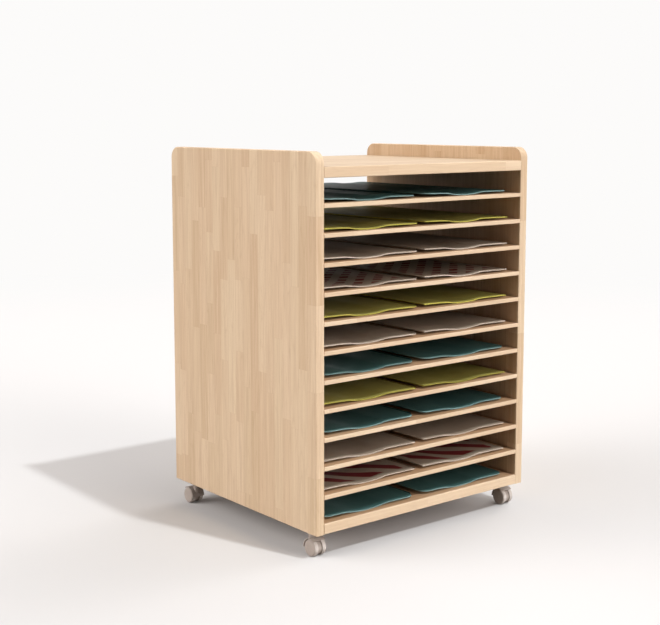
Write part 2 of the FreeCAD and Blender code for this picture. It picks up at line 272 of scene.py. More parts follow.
# A glue line is full up to the first distance and gone at the second
GLUE_LINE = (0.0001, 0.0005)
GLUE_LINE_SHARE = 0.22
# Added to a place in a pattern, so that it is never negative
PATTERN_START = 10.0
GRAIN_RELIEF = 0.22
GRAIN_DEPTH = 0.0004
RELIEF_PART = 0.5
BEECH_GLOSS = 0.15
LACQUER = 0.03
LACQUER_ROUGHNESS = 0.30


def glue_line(s, position, size):
    """1 at the joints between neighbours of the given size, 0 away from them."""
    inside = s.math("FRACT", position)
    near = s.math("MINIMUM", inside, s.math("SUBTRACT", 1.0, inside))
    return s.spread(s.math("MULTIPLY", near, size), *GLUE_LINE, 1.0, 0.0, smooth=True)


def stave_pattern(s, y, z, staves, seed):
    """Rows of staves across Y, cut to random lengths in Z: the random colour of
    each stave, and the glue lines round it."""
    width, shortest, longest = staves
    rows = s.math("DIVIDE", s.math("ADD", y, PATTERN_START), width)
    row = s.math("FLOOR", rows)
    row_dice = s.add("ShaderNodeTexWhiteNoise", {"W": s.math("ADD", row, seed)},
                     noise_dimensions="1D").outputs["Color"]
    dice = s.split_colour(row_dice)
    length = s.spread(dice[0], 0.0, 1.0, shortest, longest)
    runs = s.math("DIVIDE", s.math("ADD", z, PATTERN_START), length)
    runs = s.math("ADD", runs, dice[1])
    run = s.math("FLOOR", runs)
    stave_dice = s.add("ShaderNodeTexWhiteNoise", {"Vector": s.combine(row, run, seed)},
                       noise_dimensions="3D").outputs["Color"]
    line = s.math("MAXIMUM", glue_line(s, rows, width), glue_line(s, runs, length))
    return stave_dice, line


def beech_grain(s, x, y, z, stave_dice):
    """The wood's tone, and the fibre and streaks that its relief is made of."""
    dice = s.split_colour(stave_dice)
    apart = s.vector_math("MULTIPLY", stave_dice, GRAIN_APART)

    def layer(stretch, scale, detail, roughness):
        drawn_out = s.combine(x, y, s.math("MULTIPLY", z, stretch))
        return s.noise(s.vector_math("ADD", drawn_out, apart), scale, detail, roughness)

    # Contour lines of a slow noise, as growth rings cut lengthwise
    ring_count = s.spread(dice[2], 0.0, 1.0, RINGS_FEWEST, RINGS_MOST)
    rings = s.math("MULTIPLY", layer(*RING_NOISE), ring_count)
    ring = s.math("ABSOLUTE", s.math("SINE", s.math("MULTIPLY", rings, math.pi)))
    figure = s.math("POWER", s.math("SUBTRACT", 1.0, ring), RING_SHARPNESS)
    streak = layer(*STREAK_NOISE)
    sheen = layer(*SHEEN_NOISE)
    fibre = layer(*FIBRE_NOISE)
    fleck = s.spread(layer(*FLECK_NOISE), FLECK_START, FLECK_FULL, smooth=True)

    tone = s.mix(dice[0], BEECH_PALE, BEECH_DEEP)
    tone = s.mix(s.math("MULTIPLY", dice[1], PINK_SHARE), tone, BEECH_PINK)
    tone = s.mix(s.math("MULTIPLY", figure, RING_SHARE), tone, GRAIN_BROWN)
    tone = s.mix(s.spread(streak, *STREAK_SHARE), tone, GRAIN_BROWN)
    tone = s.mix(s.spread(sheen, *SHEEN_SHARE), tone, BEECH_LIGHT)
    tone = s.mix(s.spread(fibre, *FIBRE_SHARE), tone, GRAIN_BROWN)
    tone = s.mix(s.math("MULTIPLY", fleck, FLECK_SHARE), tone, GRAIN_BROWN)
    return tone, fibre, streak


def surface(s, colour, roughness, height, relief, depth, others):
    """Ends a finish: its colour and roughness over a fine relief of the given height."""
    bump = s.add("ShaderNodeBump", {"Strength": relief, "Distance": depth, "Height": height})
    inputs = {"Base Color": colour, "Roughness": roughness, "Normal": bump.outputs[0], **others}
    s.finish(s.add("ShaderNodeBsdfPrincipled", inputs).outputs[0])


def stave_board(name, turn, staves, seed, shade=None):
    """Beech staves: the turned Object coordinates run along the grain in Z and across
    the staves in Y. A shade changes the tone and the glue lines at a face or an edge."""
    material, s = new_recipe(name)
    place = s.object_place()
    turned = s.add("ShaderNodeMapping", {"Vector": place, "Rotation": turn}).outputs[0]
    x, y, z = s.split(turned)
    stave_dice, line = stave_pattern(s, y, z, staves, seed)
    tone, fibre, streak = beech_grain(s, x, y, z, stave_dice)
    if shade:
        tone, line = shade(s, x, y, tone, line)
    tone = s.mix(s.math("MULTIPLY", line, GLUE_LINE_SHARE), tone, GRAIN_BROWN)
    parts = [s.math("MULTIPLY", part, RELIEF_PART) for part in (fibre, streak, line)]
    height = s.math("SUBTRACT", s.math("ADD", parts[0], parts[1]), parts[2])
    surface(s, tone, s.spread(fibre, *BEECH_ROUGHNESS), height, GRAIN_RELIEF, GRAIN_DEPTH, {
        "Specular IOR Level": BEECH_GLOSS,
        "Coat Weight": LACQUER,
        "Coat Roughness": LACQUER_ROUGHNESS,
    })
    return material


def painted_shade_inside(inside_x):
    """The painted shade on a panel's inside face, which lies at the given place in X."""
    def shade(s, x, y, tone, line):
        depth = s.math("ABSOLUTE", s.math("SUBTRACT", x, inside_x))
        outer = s.spread(depth, *INSIDE_PAINTED_SHADE_DEPTH, smooth=True)
        painted_shade = s.mix(1.0, tone, INSIDE_PAINTED_SHADE, blend="MULTIPLY")
        return s.mix(outer, painted_shade, tone), line
    return shade


def dress(node_names, material):
    """Gives carried-over pieces their finish."""
    for name in node_names:
        mesh = nodes[name].data
        mesh.materials.clear()
        mesh.materials.append(material)


UPRIGHT = (0.0, 0.0, 0.0)
LEFT_PANEL_SEED = 3.0
RIGHT_PANEL_SEED = 67.0
left_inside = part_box("side_panel_left")[1][0]
right_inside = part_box("side_panel_right")[0][0]
# Both panels' inside faces are darkened as painted shade
dress(["side_panel_left"],
      stave_board("beech_left_panel", UPRIGHT, PANEL_STAVES, LEFT_PANEL_SEED,
                  painted_shade_inside(left_inside)))
dress(["side_panel_right"],
      stave_board("beech_right_panel", UPRIGHT, PANEL_STAVES, RIGHT_PANEL_SEED,
                  painted_shade_inside(right_inside)))

# ---------------------------------------------------------------------------
# Top and bottom boards
# The same stave board with its staves running from side to side, and a pale lipping
# glued along its front and back edges. Between the lippings the top board is a little darker, and
# the bottom board darker still as painted shade.
# ---------------------------------------------------------------------------
LIPPING_WIDTH = 0.004
LIPPING_BLUR = 0.0002
LIPPING_PALENESS = 0.25
# The lipping's joint is full up to the first distance and gone at the second
LIPPING_JOINT = (0.0001, 0.0004)
# Multipliers between the lippings: a little darker on the top board, painted shade on the bottom
# board and shelves
TOP_BETWEEN_LIPPINGS = (0.885, 0.868, 0.852)
PAINTED_SHADE_BETWEEN_LIPPINGS = (0.750, 0.615, 0.520)
SIDEWAYS = (0.0, math.radians(90), 0.0)
TOP_BOARD_SEED = 23.0
BOTTOM_BOARD_SEED = 29.0


def lipping(node, tone_between):
    """The shade of a board with a lipping along both edges in Y and a tone between."""
    low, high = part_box(node)

    def shade(s, x, y, tone, line):
        front = s.math("SUBTRACT", y, low[1] + LIPPING_WIDTH)
        back = s.math("SUBTRACT", high[1] - LIPPING_WIDTH, y)
        within = s.math("MINIMUM", front, back)
        board = s.spread(within, -LIPPING_BLUR, LIPPING_BLUR, smooth=True)
        pale = s.mix(LIPPING_PALENESS, tone, BEECH_LIGHT)
        between = s.mix(1.0, tone, tone_between, blend="MULTIPLY")
        joint = s.spread(s.math("ABSOLUTE", within), *LIPPING_JOINT, 1.0, 0.0, smooth=True)
        return s.mix(board, pale, between), s.math("MAXIMUM", line, joint)
    return shade


dress(["top_board"],
      stave_board("beech_top", SIDEWAYS, PANEL_STAVES, TOP_BOARD_SEED,
                  lipping("top_board", TOP_BETWEEN_LIPPINGS)))
dress(["bottom_board"],
      stave_board("beech_bottom", SIDEWAYS, PANEL_STAVES, BOTTOM_BOARD_SEED,
                  lipping("bottom_board", PAINTED_SHADE_BETWEEN_LIPPINGS)))

# ---------------------------------------------------------------------------
# Shelves
# Thin boards of longer beech staves with a pale beech lipping glued to
# the front and back edges and painted shade between them, slid into the panels from the back.
# ---------------------------------------------------------------------------
SHELF_STAVES = (0.052, 0.30, 0.62)
SHELF_SEED = 101.0
SHELF_SEED_STEP = 7.0
shelf_names = sorted(name for name in nodes if name.startswith("shelf_"))
for number, name in enumerate(shelf_names):
    seed = SHELF_SEED + SHELF_SEED_STEP * number
    # Each shelf is darkened between its lippings as painted shade
    dress([name],
          stave_board("beech_" + name, SIDEWAYS, SHELF_STAVES, seed, lipping(name, PAINTED_SHADE_BETWEEN_LIPPINGS)))

# ---------------------------------------------------------------------------
# Dowels and cam fittings
# Fluted beech dowels line the boards up with the panels, and zinc cams set in
# the boards' undersides draw them tight against bolts screwed into the panels.
# ---------------------------------------------------------------------------
DOWEL_STAVES = (0.012, 0.20, 0.40)
DOWEL_SEED = 211.0
CAM_SEED = 3.0
ZINC = (0.60, 0.59, 0.565)
ZINC_DULL = (0.43, 0.425, 0.41)
ZINC_CRYSTAL = (0.78, 0.78, 0.77)
CRYSTAL_SCALE = 700.0
CRYSTAL_SHARE = 0.12
CRYSTAL_ROUGHNESS = 0.06
# (scale, detail, roughness)
DULL_NOISE = (120.0, 4.0, 0.6)
RUB_NOISE = (2600.0, 2.0, 0.5)
# (noise from, noise to, result from, result to)
DULL_SHARE = (0.35, 0.7, 0.0, 0.8)
ZINC_ROUGHNESS = (0.3, 0.7, 0.26, 0.42)
ZINC_RELIEF = 0.12
FINE_DEPTH = 0.0002


def zinc_plate(name, seed):
    """Bright zinc plating: a fine crystal mottle and small rubbed marks."""
    material, s = new_recipe(name)
    place = s.object_place()
    shifted = s.vector_math("ADD", place, (seed, seed, seed))
    cells = s.add("ShaderNodeTexVoronoi", {"Vector": shifted, "Scale": CRYSTAL_SCALE},
                  feature="F1").outputs["Color"]
    crystal = s.split_colour(cells)[0]
    dull = s.noise(shifted, *DULL_NOISE)
    colour = s.mix(s.spread(dull, *DULL_SHARE), ZINC, ZINC_DULL)
    colour = s.mix(s.math("MULTIPLY", crystal, CRYSTAL_SHARE), colour, ZINC_CRYSTAL)
    rough = s.spread(dull, *ZINC_ROUGHNESS)
    rough = s.math("ADD", rough, s.math("MULTIPLY", crystal, CRYSTAL_ROUGHNESS))
    rub = s.noise(shifted, *RUB_NOISE)
    surface(s, colour, rough, rub, ZINC_RELIEF, FINE_DEPTH, {"Metallic": 1.0})
    return material


dress(["dowels"], stave_board("dowel_beech", SIDEWAYS, DOWEL_STAVES, DOWEL_SEED))
dress(["cam_bolts", "cam_discs"], zinc_plate("cam_zinc", CAM_SEED))

# ---------------------------------------------------------------------------
# Papers
# Two piles of large sheets side by side in every compartment. Each pile is a few
# loose sheets that have taken a wave across their width from lying unpressed.
# ---------------------------------------------------------------------------
SHEETS_IN_PILE = 7
SHEET_THICK = 0.00027
SHEET_PITCH = 0.00036
SHEET_LIFT = 0.00015
SHEET_SHUFFLE = 0.0012
SHEET_TWIST = 0.003
GAP_BETWEEN_PILES = 0.024
CUT_CORNER = 0.0012
ROUND_CORNER = 0.022
COLUMNS = 41
ROWS = 13
MERGE_WITHIN = 0.00001
CRISP_BEND = 0.6
TONE_SEED = 7.0
TWIST_SEED = 3.0
WAVE_HEIGHT = 0.010
# (share of the width, rise as a share of the wave height)
FRONT_WAVE = ((0.0, 0.69), (0.22, 0.57), (0.46, 0.01), (0.58, 0.15), (0.71, 0.50), (1.0, 0.41))
BACK_WAVE = ((0.0, 0.23), (0.22, 0.07), (0.40, 0.27), (0.58, 0.36), (0.80, 0.03), (1.0, 0.29))


def new_shape(name, wanted):
    """A geometry tree with named inputs of each kind, its recipe and its inputs."""
    tree = bpy.data.node_groups.new(name, "GeometryNodeTree")
    for kind, labels in wanted.items():
        for label in labels:
            socket_type = "NodeSocket" + kind
            tree.interface.new_socket(name=label, in_out="INPUT", socket_type=socket_type)
    tree.interface.new_socket(name="Geometry", in_out="OUTPUT", socket_type="NodeSocketGeometry")
    g = Recipe(tree)
    return tree, g, g.add("NodeGroupInput").outputs


def position_parts(g):
    """X, Y and Z of the place that is being worked on."""
    return g.split(g.add("GeometryNodeInputPosition").outputs[0])


def chance(g, seed):
    """A random number from 0 to 1 for each element."""
    return g.add("FunctionNodeRandomValue", {"Seed": seed}, data_type="FLOAT").outputs[1]


def finish_shape(g, shape, material):
    """Ends a tree: edges that bend sharply stay crisp, and the material is set."""
    bend = g.add("GeometryNodeInputMeshEdgeAngle").outputs["Unsigned Angle"]
    smooth = g.add("GeometryNodeSetShadeSmooth", {
        "Geometry": shape,
        "Selection": g.math("GREATER_THAN", bend, CRISP_BEND),
        "Shade Smooth": False,
    }, domain="EDGE").outputs[0]
    done = g.add("GeometryNodeSetMaterial", {"Geometry": smooth, "Material": material})
    g.add("NodeGroupOutput", {0: done.outputs[0]})


def grown(name, tree, sizes):
    """Runs a geometry tree with the given sizes and keeps its result as a plain mesh."""
    piece = bpy.data.objects.new(name, bpy.data.meshes.new(name + "_start"))
    bpy.context.scene.collection.objects.link(piece)
    modifier = piece.modifiers.new("shape", "NODES")
    modifier.node_group = tree
    for socket in tree.interface.items_tree:
        if socket.in_out == "INPUT":
            modifier[socket.identifier] = sizes[socket.name]
    graph = bpy.context.evaluated_depsgraph_get()
    mesh = bpy.data.meshes.new_from_object(piece.evaluated_get(graph))
    piece.modifiers.clear()
    piece.data = mesh
    mesh.name = name
    return piece


def flat_sheet(g, given, half_width, half_length):
    """One flat sheet round the origin, with its corners rounded and its edges marked.
    Its columns lie closer together near the sides, for the corners."""
    grid = g.add("GeometryNodeMeshGrid", {
        "Size X": 2.0,
        "Size Y": 2.0,
        "Vertices X": COLUMNS,
        "Vertices Y": ROWS,
    }).outputs["Mesh"]
    at = position_parts(g)
    across = g.math("SINE", g.math("MULTIPLY", at[0], math.pi / 2))
    across = g.math("MULTIPLY", across, half_width)
    straight = g.math("SUBTRACT", half_width, given["Corner"])
    past = g.math("MAXIMUM", g.math("SUBTRACT", g.math("ABSOLUTE", across), straight), 0.0)
    square = g.math("SUBTRACT", g.math("POWER", given["Corner"], 2.0), g.math("POWER", past, 2.0))
    arc = g.math("SQRT", g.math("MAXIMUM", square, 0.0))
    reach = g.math("ADD", g.math("SUBTRACT", half_length, given["Corner"]), arc)
    shaped = g.add("GeometryNodeSetPosition", {
        "Geometry": grid,
        "Position": g.combine(across, g.math("MULTIPLY", at[1], reach), 0.0),
    }).outputs[0]

    thick = g.add("GeometryNodeExtrudeMesh", {
        "Mesh": shaped,
        "Offset Scale": given["Thickness"],
        "Individual": False,
    }, mode="FACES").outputs
    marked = g.add("GeometryNodeStoreNamedAttribute", {
        "Geometry": thick["Mesh"],
        "Name": "cut_edge",
        "Value": thick["Side"],
    }, data_type="FLOAT", domain="FACE").outputs[0]
    under = g.add("GeometryNodeFlipFaces", {"Mesh": shaped}).outputs[0]
    sheet = g.add("GeometryNodeJoinGeometry")
    g.feed(sheet.inputs[0], under)
    g.feed(sheet.inputs[0], marked)
    return g.add("GeometryNodeMergeByDistance", {
        "Geometry": sheet.outputs[0],
        "Distance": MERGE_WITHIN,
    }).outputs[0]


def sheet_places(g, given, half_width, half_length):
    """A point for each sheet, the left pile's first, each a little out of line."""
    index = g.add("GeometryNodeInputIndex").outputs[0]
    pile = g.math("FLOOR", g.math("DIVIDE", index, given["Sheets"]))
    level = g.math("SUBTRACT", index, g.math("MULTIPLY", pile, given["Sheets"]))
    shuffle = g.add("FunctionNodeRandomValue", {"Seed": given["Seed"]}, data_type="FLOAT_VECTOR")
    g.feed(shuffle.inputs[0], (-1.0, -1.0, 0.0))
    g.feed(shuffle.inputs[1], (1.0, 1.0, 0.0))
    shuffle = g.add("ShaderNodeVectorMath", {0: shuffle.outputs[0], "Scale": given["Shuffle"]},
                    operation="SCALE").outputs[0]
    middle = g.math("ADD", g.math("ADD", given["Left Edge"], half_width),
                    g.math("MULTIPLY", pile, given["Step"]))
    home = g.combine(middle, g.math("ADD", given["Front Edge"], half_length),
                     g.math("MULTIPLY", level, given["Pitch"]))
    home = g.vector_math("ADD", home, shuffle)
    points = g.add("GeometryNodePoints", {
        "Count": g.math("MULTIPLY", given["Sheets"], 2.0),
        "Position": home,
    }).outputs[0]
    return g.add("GeometryNodeStoreNamedAttribute", {
        "Geometry": points,
        "Name": "sheet_tone",
        "Value": chance(g, g.math("ADD", given["Seed"], TONE_SEED)),
    }, data_type="FLOAT", domain="POINT").outputs[0]


def wave_lift(g, given):
    """How far a place is lifted by the wave, which changes evenly from front to back."""
    at = position_parts(g)
    from_left = g.math("SUBTRACT", at[0], given["Left Edge"])
    second = g.math("GREATER_THAN", from_left, given["Width"])
    from_left = g.math("SUBTRACT", from_left, g.math("MULTIPLY", second, given["Step"]))
    share = g.math("DIVIDE", from_left, given["Width"])
    depth = g.math("DIVIDE", g.math("SUBTRACT", at[1], given["Front Edge"]), given["Length"])
    front, back = g.profile(share, FRONT_WAVE), g.profile(share, BACK_WAVE)
    rise = g.math("ADD", front, g.math("MULTIPLY", depth, g.math("SUBTRACT", back, front)))
    return g.math("ADD", g.math("MULTIPLY", rise, WAVE_HEIGHT), given["Underside"])


def pile_recipe():
    """Geometry tree: one thin sheet, repeated into two piles, then waved."""
    tree, g, given = new_shape("paper_piles", {
        "Float": ("Width", "Length", "Corner", "Left Edge", "Step", "Front Edge",
                  "Underside", "Thickness", "Pitch", "Shuffle", "Twist"),
        "Int": ("Sheets", "Seed"),
        "Material": ("Paper",),
    })
    half_width = g.math("MULTIPLY", given["Width"], 0.5)
    half_length = g.math("MULTIPLY", given["Length"], 0.5)
    twist = g.math("SUBTRACT", chance(g, g.math("ADD", given["Seed"], TWIST_SEED)), 0.5)
    piles = g.add("GeometryNodeInstanceOnPoints", {
        "Points": sheet_places(g, given, half_width, half_length),
        "Instance": flat_sheet(g, given, half_width, half_length),
        "Rotation": g.combine(0.0, 0.0, g.math("MULTIPLY", twist, given["Twist"])),
    }).outputs[0]
    piles = g.add("GeometryNodeRealizeInstances", {0: piles}).outputs[0]
    waved = g.add("GeometryNodeSetPosition", {
        "Geometry": piles,
        "Offset": g.combine(0.0, 0.0, wave_lift(g, given)),
    }).outputs[0]
    finish_shape(g, waved, given["Paper"])
    return tree


# (colour darkened as painted shade, colour of the cut edges made paler partly as a painted
# highlight, roughness, coat)
TEAL = ((0.066, 0.155, 0.150), (0.38, 0.60, 0.61), 0.45, 0.05)
LIME = ((0.350, 0.330, 0.090), (0.80, 0.77, 0.17), 0.55, 0.0)
WHITE = ((0.365, 0.310, 0.245), (0.93, 0.86, 0.77), 0.60, 0.0)
PRINTED = (*WHITE[:2], 0.50, 0.0)
PRINT_RED = (0.165, 0.022, 0.024)
PRINT_MARGIN = 0.022
STRIPE_WIDTH = 0.046
DIAMOND_WIDTH = 0.060
# (scale, detail, roughness)
CLOUD_NOISE = (28.0, 3.0, 0.6)
PULP_NOISE = (1400.0, 3.0, 0.7)
# (noise from, noise to, result from, result to)
CLOUD_SHARE = (0.3, 0.7, 0.0, 0.30)
PULP_SHARE = (0.3, 0.7, 0.0, 0.22)
PAPER_DEEPER = 0.80
PAPER_ROUGHER = 0.08
CUT_EDGE_HIGHLIGHT_SHARE = 0.9
SHEET_TONE = (0.05, 0.05, 0.05)
SHEET_TONE_SHARE = 0.16
PAPER_RELIEF = 0.15
PAPER_GLOSS = 0.10
PAPER_COAT_ROUGHNESS = 0.2

papers_low, papers_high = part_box("papers_01")
PILE_WIDTH = (papers_high[0] - papers_low[0] - GAP_BETWEEN_PILES) / 2
PILE_LENGTH = papers_high[1] - papers_low[1]
PILE_STEP = PILE_WIDTH + GAP_BETWEEN_PILES


def inside_sheet(s, place):
    """Place on the sheet from its front left corner, and 1 inside the print's margin."""
    x, y, _ = s.split(place)
    x = s.math("SUBTRACT", x, papers_low[0])
    y = s.math("SUBTRACT", y, papers_low[1])
    second = s.math("GREATER_THAN", x, PILE_WIDTH + GAP_BETWEEN_PILES / 2)
    x = s.math("SUBTRACT", x, s.math("MULTIPLY", second, PILE_STEP))
    inside = 1.0
    for value, size in ((x, PILE_WIDTH), (y, PILE_LENGTH)):
        near = s.math("GREATER_THAN", value, PRINT_MARGIN)
        far = s.math("LESS_THAN", value, size - PRINT_MARGIN)
        inside = s.math("MULTIPLY", s.math("MULTIPLY", near, far), inside)
    return x, y, inside


def stripe(s, along, width):
    """1 on the first half of every width along the pattern, 0 on the second half."""
    return s.math("LESS_THAN", s.math("FRACT", s.math("DIVIDE", along, width)), 0.5)


def slanted_stripes(s, place):
    """Red stripes at 45 degrees, as wide as the gaps between them."""
    x, y, inside = inside_sheet(s, place)
    return s.math("MULTIPLY", stripe(s, s.math("ADD", x, y), 2 * STRIPE_WIDTH), inside)


def diamonds(s, place):
    """Red diamonds where two sets of slanted stripes cross."""
    x, y, inside = inside_sheet(s, place)
    rising = s.math("ADD", s.math("SUBTRACT", x, y), PATTERN_START)
    one = stripe(s, s.math("ADD", x, y), DIAMOND_WIDTH)
    other = stripe(s, rising, DIAMOND_WIDTH)
    return s.math("MULTIPLY", s.math("MULTIPLY", one, other), inside)


def paper_stock(name, colour, edge_colour_with_highlight, roughness, coat, print_pattern=None):
    """Craft paper: cloudy fibre formation, a faint tooth, and paler cut edges, partly a painted
    highlight.
    """
    material, s = new_recipe(name)
    place = s.object_place()
    cloud = s.noise(place, *CLOUD_NOISE)
    pulp = s.noise(place, *PULP_NOISE)
    tone = s.attribute("sheet_tone")
    cut = s.attribute("cut_edge")
    deep = tuple(PAPER_DEEPER * part for part in colour)
    shade = s.mix(s.spread(cloud, *CLOUD_SHARE), colour, deep)
    shade = s.mix(s.spread(pulp, *PULP_SHARE), shade, deep)
    if print_pattern:
        shade = s.mix(print_pattern(s, place), shade, PRINT_RED)
    # The cut edges' paler colour is partly a painted highlight
    shade = s.mix(s.math("MULTIPLY", cut, CUT_EDGE_HIGHLIGHT_SHARE), shade, edge_colour_with_highlight)
    shade = s.mix(s.math("MULTIPLY", tone, SHEET_TONE_SHARE), shade, SHEET_TONE, blend="SOFT_LIGHT")
    rough = s.spread(cloud, *CLOUD_SHARE[:2], roughness, roughness + PAPER_ROUGHER)
    surface(s, shade, rough, pulp, PAPER_RELIEF, FINE_DEPTH, {
        "Specular IOR Level": PAPER_GLOSS,
        "Coat Weight": coat,
        "Coat Roughness": PAPER_COAT_ROUGHNESS,
    })
    return material


# (slot, paper, corner)
# The sheets' colours are darkened as painted shade
teal = ("teal_paper", paper_stock("teal_paper", *TEAL), ROUND_CORNER)
lime = ("lime_paper", paper_stock("lime_paper", *LIME), CUT_CORNER)
plain = ("white_paper", paper_stock("white_paper", *WHITE), CUT_CORNER)
striped_paper = paper_stock("striped_paper", *PRINTED, slanted_stripes)
striped = ("white_paper", striped_paper, CUT_CORNER)
diamond_paper = paper_stock("diamond_paper", *PRINTED, diamonds)
diamond = ("white_paper", diamond_paper, CUT_CORNER)
# What lies in each compartment, from the top down
stock = (teal, lime, plain, diamond, lime, plain, teal, lime, teal, plain, striped, teal)
piles = pile_recipe()
for number, (slot, paper, corner) in enumerate(stock, start=1):
    cad_name = f"papers_{number:02d}"
    low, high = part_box(cad_name)
    piece = grown(f"paper_piles_{number:02d}", piles, {
        "Width": PILE_WIDTH - 2 * SHEET_SHUFFLE,
        "Length": PILE_LENGTH - 2 * SHEET_SHUFFLE,
        "Corner": corner,
        "Left Edge": low[0] + SHEET_SHUFFLE,
        "Step": PILE_STEP,
        "Front Edge": low[1] + SHEET_SHUFFLE,
        "Underside": low[2] + SHEET_LIFT,
        "Sheets": SHEETS_IN_PILE,
        "Thickness": SHEET_THICK,
        "Pitch": SHEET_PITCH,
        "Shuffle": SHEET_SHUFFLE,
        "Twist": SHEET_TWIST,
        "Seed": number,
        "Paper": paper,
    })
    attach(piece, cad_name)
    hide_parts(cad_name)

# ---------------------------------------------------------------------------
# Caster plates, axles and clips
# Pressed plates under the panels, each with a riveted stem that its caster turns
# on, a spring clip on the stem and a cross axle for the wheels, all zinc plated.
# ---------------------------------------------------------------------------
CORNERS = ("front_left", "front_right", "back_left", "back_right")
PLATE_SEED = 11.0
AXLE_SEED = 17.0
CLIP_SEED = 23.0
dress([corner + "_caster_plate" for corner in CORNERS], zinc_plate("plate_zinc", PLATE_SEED))
dress([corner + "_caster_axle" for corner in CORNERS], zinc_plate("axle_zinc", AXLE_SEED))
dress(["stem_clips"], zinc_plate("clip_zinc", CLIP_SEED))

# ---------------------------------------------------------------------------
# Caster screws
# Sixteen zinc plated pan-head wood screws, four through each plate into the
# panel or the bottom board, each driven home with its cross at its own angle.
# ---------------------------------------------------------------------------
SCREW_COUNT = 16
HOLES_IN_PLATE = 4.0
HOLE_INSET = 0.006
SCREW_HEAD_RADIUS = 0.0036
SCREW_SIDES = 20
SCREW_RINGS = 66
SCREW_SEED = 5
SCREW_ZINC_SEED = 31.0
THREAD_DEPTH = 0.00040
THREAD_PITCH = 0.0013
THREAD_FROM = 0.17
THREAD_TO = 0.93
CROSS_LENGTH = 0.0040
CROSS_WIDTH = 0.0009
CROSS_DEPTH = 0.0012
# (share of the length from the head's face, radius as a share of the head's radius)
SCREW_PROFILE = ((0.0, 0.66), (0.03, 0.88), (0.07, 0.98), (0.116, 1.0), (0.121, 0.37),
                 (0.90, 0.37), (1.0, 0.02))


def threaded_screw(g, given):
    """A cylinder drawn in and out to the screw's profile, with its thread wound round."""
    blank = g.add("GeometryNodeMeshCylinder", {
        "Vertices": SCREW_SIDES,
        "Side Segments": SCREW_RINGS,
        "Radius": 1.0,
        "Depth": given["Length"],
    }, fill_type="TRIANGLE_FAN").outputs["Mesh"]
    at = position_parts(g)
    height = g.math("ADD", at[2], g.math("MULTIPLY", given["Length"], 0.5))
    share = g.math("DIVIDE", height, given["Length"])
    radius = g.math("MULTIPLY", g.profile(share, SCREW_PROFILE, "VECTOR"), given["Head Radius"])
    angle = g.math("DIVIDE", g.math("ARCTAN2", at[1], at[0]), 2 * math.pi)
    turns = g.math("SUBTRACT", g.math("DIVIDE", height, given["Thread Pitch"]), angle)
    saw = g.math("ABSOLUTE", g.math("SUBTRACT", g.math("FRACT", turns), 0.5))
    ridge = g.math("SUBTRACT", 1.0, g.math("MULTIPLY", saw, 2.0))
    threaded = g.math("MULTIPLY", g.math("GREATER_THAN", share, THREAD_FROM),
                      g.math("LESS_THAN", share, THREAD_TO))
    ridge = g.math("MULTIPLY", g.math("MULTIPLY", ridge, threaded), given["Thread Depth"])
    radius = g.math("ADD", radius, ridge)
    x, y = g.math("MULTIPLY", at[0], radius), g.math("MULTIPLY", at[1], radius)
    return g.add("GeometryNodeSetPosition", {
        "Geometry": blank,
        "Position": g.combine(x, y, height),
    }).outputs[0]


def cross_headed(g, given, screw):
    """The screw with a cross cut into its head's face."""
    depth = g.math("MULTIPLY", given["Cross Depth"], 2.0)
    cut = g.add("GeometryNodeMeshBoolean", operation="DIFFERENCE", solver="EXACT")
    g.feed(cut.inputs["Mesh 1"], screw)
    for x, y in (("Cross Length", "Cross Width"), ("Cross Width", "Cross Length")):
        arm = g.add("GeometryNodeMeshCube", {"Size": g.combine(given[x], given[y], depth)})
        g.feed(cut.inputs["Mesh 2"], arm.outputs["Mesh"])
    return cut.outputs[0]


def plate_holes(g, given):
    """A point at each hole of each plate, mirrored from the plate at the back right."""
    index = g.add("GeometryNodeInputIndex").outputs[0]
    plate = g.math("FLOOR", g.math("DIVIDE", index, HOLES_IN_PLATE))
    centre = g.split(given["Plate Place"])

    def side(value, step):
        """-1 or +1, changing every so many steps."""
        half = g.math("FLOOR", g.math("DIVIDE", value, step))
        return g.math("SUBTRACT", g.math("MULTIPLY", g.math("MODULO", half, 2.0), 2.0), 1.0)

    def place(axis, step):
        """The plate's place along an axis, and the hole's from the plate's middle."""
        return g.math("ADD", g.math("MULTIPLY", side(plate, step), centre[axis]),
                      g.math("MULTIPLY", side(index, step), given["Hole Reach"]))

    return g.add("GeometryNodePoints", {
        "Count": SCREW_COUNT,
        "Position": g.combine(place(0, 1.0), place(1, 2.0), given["Low"]),
    }).outputs[0]


def screw_recipe():
    """Geometry tree: a turned screw with a thread and a cross, placed at every hole."""
    tree, g, given = new_shape("caster_screws", {
        "Float": ("Head Radius", "Length", "Thread Depth", "Thread Pitch", "Cross Length",
                  "Cross Width", "Cross Depth", "Hole Reach", "Low"),
        "Vector": ("Plate Place",),
        "Int": ("Seed",),
        "Material": ("Metal",),
    })
    spin = g.math("MULTIPLY", chance(g, given["Seed"]), math.pi)
    screws = g.add("GeometryNodeInstanceOnPoints", {
        "Points": plate_holes(g, given),
        "Instance": cross_headed(g, given, threaded_screw(g, given)),
        "Rotation": g.combine(0.0, 0.0, spin),
    }).outputs[0]
    screws = g.add("GeometryNodeRealizeInstances", {0: screws}).outputs[0]
    finish_shape(g, screws, given["Metal"])
    return tree


